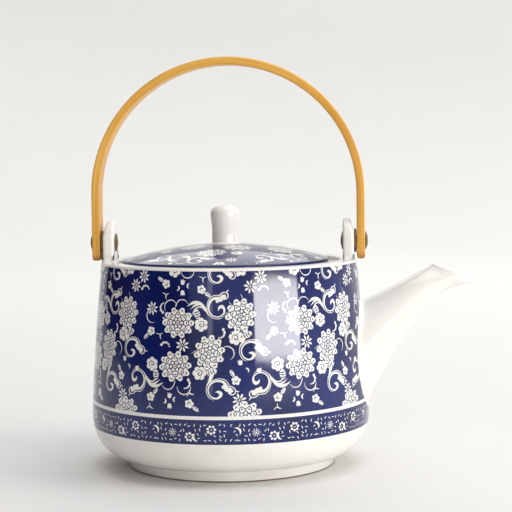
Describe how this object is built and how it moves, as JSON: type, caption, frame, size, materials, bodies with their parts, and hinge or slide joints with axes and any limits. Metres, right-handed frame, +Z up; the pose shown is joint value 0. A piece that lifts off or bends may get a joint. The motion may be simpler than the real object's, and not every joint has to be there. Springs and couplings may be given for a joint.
{
  "type": "porcelain teapot",
  "caption": "Squat porcelain teapot with a drop-in lid, a beaked spout, a steel infuser and a bent bamboo bail handle on riveted lugs.",
  "frame": {"origin": "centre of the foot ring's underside, on the surface the pot stands on", "axes": "+X towards the spout, +Z up, +Y completes the right-handed frame"},
  "size_m": [0.2005, 0.1454, 0.2125],
  "materials": {
    "decorated_porcelain": "clear glaze over cobalt decoration on white",
    "white_porcelain": "clear glaze on white",
    "bamboo": "satin lacquer on bent bamboo strip",
    "rivet_brass": "dull antique brass",
    "infuser_steel": "brushed stainless sheet"
  },
  "bodies": {
    "pot": {"body_shell": "decorated_porcelain", "body_base": "white_porcelain", "spout": "white_porcelain", "lug_left": "white_porcelain", "lug_right": "white_porcelain", "pivot_rivet_left": "rivet_brass", "pivot_rivet_right": "rivet_brass", "outer_washer_left": "rivet_brass", "outer_washer_right": "rivet_brass", "spacer_washer_left": "rivet_brass", "spacer_washer_right": "rivet_brass", "inner_washer_left": "rivet_brass", "inner_washer_right": "rivet_brass"},
    "handle": {"handle_bow": "bamboo"},
    "infuser": {"infuser_rim": "infuser_steel", "infuser_wall": "infuser_steel", "infuser_base": "infuser_steel"},
    "lid": {"lid": "decorated_porcelain", "lid_knob": "white_porcelain"}
  },
  "joints": [
    {"name": "handle_swing", "type": "hinge", "parent": "pot", "child": "handle", "pos_m": [0, 0, 0.1165], "axis": [1, 0, 0], "range_deg": [-120, 120]},
    {"name": "infuser_lift", "type": "slide", "parent": "pot", "child": "infuser", "axis": [0, 0, 1], "range_m": [0, 0.04]},
    {"name": "lid_lift", "type": "slide", "parent": "infuser", "child": "lid", "axis": [0, 0, 1], "range_m": [0, 0.026]}
  ]
}
